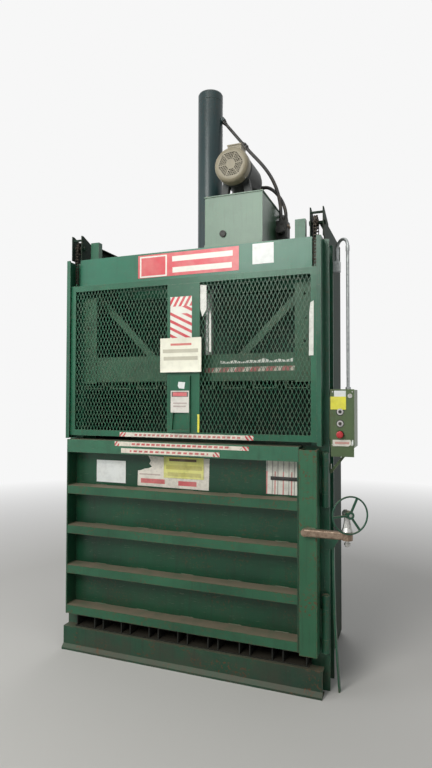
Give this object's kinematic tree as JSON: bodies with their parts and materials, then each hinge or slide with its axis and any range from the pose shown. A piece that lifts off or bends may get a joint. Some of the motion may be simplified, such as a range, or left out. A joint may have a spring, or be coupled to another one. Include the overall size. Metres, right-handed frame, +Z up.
{
  "type": "vertical cardboard baler",
  "caption": "Vertical cardboard baler with a lift-up mesh gate, a ribbed chamber door, a screw latch and a hydraulic press on top.",
  "frame": {"origin": "on the floor, straight below the press cylinder, on the underside of the middle base runner", "axes": "+Z up, -Y to the front of the machine, +X to the right seen from the front"},
  "size_m": [1.9042, 0.9913, 3.627],
  "materials": {
    "machine_paint": "satin",
    "dark_paint": "satin",
    "floor_steel": "matte",
    "cylinder_paint": "gloss",
    "tank_paint": "gloss",
    "motor_paint": "matte",
    "cover_paint": "satin",
    "box_paint": "satin",
    "bright_steel": "satin",
    "worn_steel": "matte",
    "chain_steel": "matte",
    "black_iron": "satin",
    "hose_rubber": "satin",
    "black_plastic": "gloss",
    "red_plastic": "gloss"
  },
  "bodies": {
    "frame": {"base_frame": "dark_paint", "chamber_floor": "floor_steel", "left_post": "machine_paint", "right_post": "machine_paint", "gate_guides": "machine_paint", "left_side_wall": "dark_paint", "right_side_wall": "dark_paint", "back_wall": "dark_paint", "header_panel": "machine_paint", "top_frame": "dark_paint", "chain_wheel_brackets": "dark_paint", "frame_hinge_knuckles": "machine_paint", "hinge_pins": "bright_steel", "cylinder_barrel": "cylinder_paint", "cylinder_gland": "bright_steel", "cylinder_bolts": "worn_steel", "oil_tank": "tank_paint", "tank_lid": "tank_paint", "tank_plugs": "worn_steel", "motor_body": "motor_paint", "fan_cover": "cover_paint", "junction_box": "cover_paint", "pump": "black_iron", "valve_block": "black_iron", "hydraulic_hoses": "hose_rubber", "hose_fittings": "worn_steel", "control_box": "box_paint", "control_cover": "box_paint", "button_rings": "bright_steel", "box_strut": "box_paint", "conduit": "bright_steel", "left_chain": "chain_steel", "right_chain": "chain_steel", "left_rear_chain": "chain_steel", "right_rear_chain": "chain_steel"},
    "door": {"door_panel": "machine_paint", "door_top_rail": "machine_paint", "door_ribs": "machine_paint", "door_hinge_knuckles": "machine_paint"},
    "latch": {"latch_bar": "machine_paint", "latch_lever": "worn_steel", "latch_hinge_knuckles": "machine_paint"},
    "swivel": {"swivel_block": "bright_steel"},
    "screw": {"clamp_screw": "bright_steel"},
    "wheel": {"handwheel": "machine_paint"},
    "gate": {"gate_frame": "machine_paint", "gate_mesh": "machine_paint", "gate_centre_plate": "machine_paint"},
    "press_ram": {"piston_rod": "bright_steel", "platen": "dark_paint", "platen_guides": "machine_paint"},
    "left_chain_sprocket": {"left_chain_wheel": "chain_steel"},
    "right_chain_sprocket": {"right_chain_wheel": "chain_steel"},
    "left_weight": {"left_counterweight": "chain_steel"},
    "right_weight": {"right_counterweight": "chain_steel"},
    "rotor": {"motor_rotor": "black_iron"},
    "start": {"start_button": "black_plastic"},
    "selector": {"selector_knob": "black_plastic"},
    "stop": {"stop_button": "red_plastic"},
    "key": {"key_switch": "bright_steel"}
  },
  "joints": [
    {"name": "door_swing", "type": "hinge", "parent": "frame", "child": "door", "pos_m": [-0.825, -0.382, 0.7], "axis": [0, 0, -1], "range_deg": [0, 135]},
    {"name": "latch_swing", "type": "hinge", "parent": "frame", "child": "latch", "pos_m": [0.825, -0.382, 0.7], "axis": [0, 0, 1], "range_deg": [0, 90]},
    {"name": "swivel_turn", "type": "hinge", "parent": "latch", "child": "swivel", "pos_m": [0.955, -0.497, 0.875], "axis": [0, 0, 1], "range_deg": [-15, 60]},
    {"name": "screw_feed", "type": "slide", "parent": "swivel", "child": "screw", "axis": [0.5299, -0.848, 0], "range_m": [0, 0.02]},
    {"name": "handwheel_turn", "type": "hinge", "parent": "screw", "child": "wheel", "pos_m": [0.955, -0.497, 0.988], "axis": [0.5299, -0.848, 0], "range_deg": [0, 1440]},
    {"name": "gate_lift", "type": "slide", "parent": "frame", "child": "gate", "axis": [0, 0, 1], "range_m": [0, 0.21], "deforming": ["left_chain", "right_chain"]},
    {"name": "left_chain_wheel_turn", "type": "hinge", "parent": "frame", "child": "left_chain_sprocket", "pos_m": [-0.775, -0.36, 2.56], "axis": [1, 0, 0], "range_deg": [-340, 0]},
    {"name": "right_chain_wheel_turn", "type": "hinge", "parent": "frame", "child": "right_chain_sprocket", "pos_m": [0.775, -0.36, 2.56], "axis": [1, 0, 0], "range_deg": [-340, 0]},
    {"name": "left_weight_drop", "type": "slide", "parent": "frame", "child": "left_weight", "axis": [0, 0, -1], "range_m": [0, 0.215], "deforming": ["left_rear_chain"]},
    {"name": "right_weight_drop", "type": "slide", "parent": "frame", "child": "right_weight", "axis": [0, 0, -1], "range_m": [0, 0.215], "deforming": ["right_rear_chain"]},
    {"name": "platen_press", "type": "slide", "parent": "frame", "child": "press_ram", "axis": [0, 0, -1], "range_m": [0, 0.8]},
    {"name": "motor_shaft_spin", "type": "hinge", "parent": "frame", "child": "rotor", "pos_m": [0.273, -0.35, 2.966], "axis": [0, 1, 0], "continuous": true},
    {"name": "start_press", "type": "slide", "parent": "frame", "child": "start", "axis": [0, 1, 0], "range_m": [0, 0.005], "stiffness_N_per_m": 600},
    {"name": "selector_turn", "type": "hinge", "parent": "frame", "child": "selector", "pos_m": [0.90802, -0.4, 1.44751], "axis": [0, -1, 0], "range_deg": [-45, 45]},
    {"name": "stop_press", "type": "slide", "parent": "frame", "child": "stop", "axis": [0, 1, 0], "range_m": [0, 0.006], "stiffness_N_per_m": 600},
    {"name": "key_turn", "type": "hinge", "parent": "frame", "child": "key", "pos_m": [0.96, -0.4, 1.596], "axis": [0, -1, 0], "range_deg": [0, 90]}
  ],
  "couplings": [
    {"joint": "screw_feed", "follows": "handwheel_turn", "m_per_rad": 0.00079577},
    {"joint": "left_chain_wheel_turn", "follows": "gate_lift", "rad_per_m": -27.173},
    {"joint": "right_chain_wheel_turn", "follows": "gate_lift", "rad_per_m": -27.173},
    {"joint": "left_weight_drop", "follows": "gate_lift", "ratio": 1},
    {"joint": "right_weight_drop", "follows": "gate_lift", "ratio": 1}
  ]
}
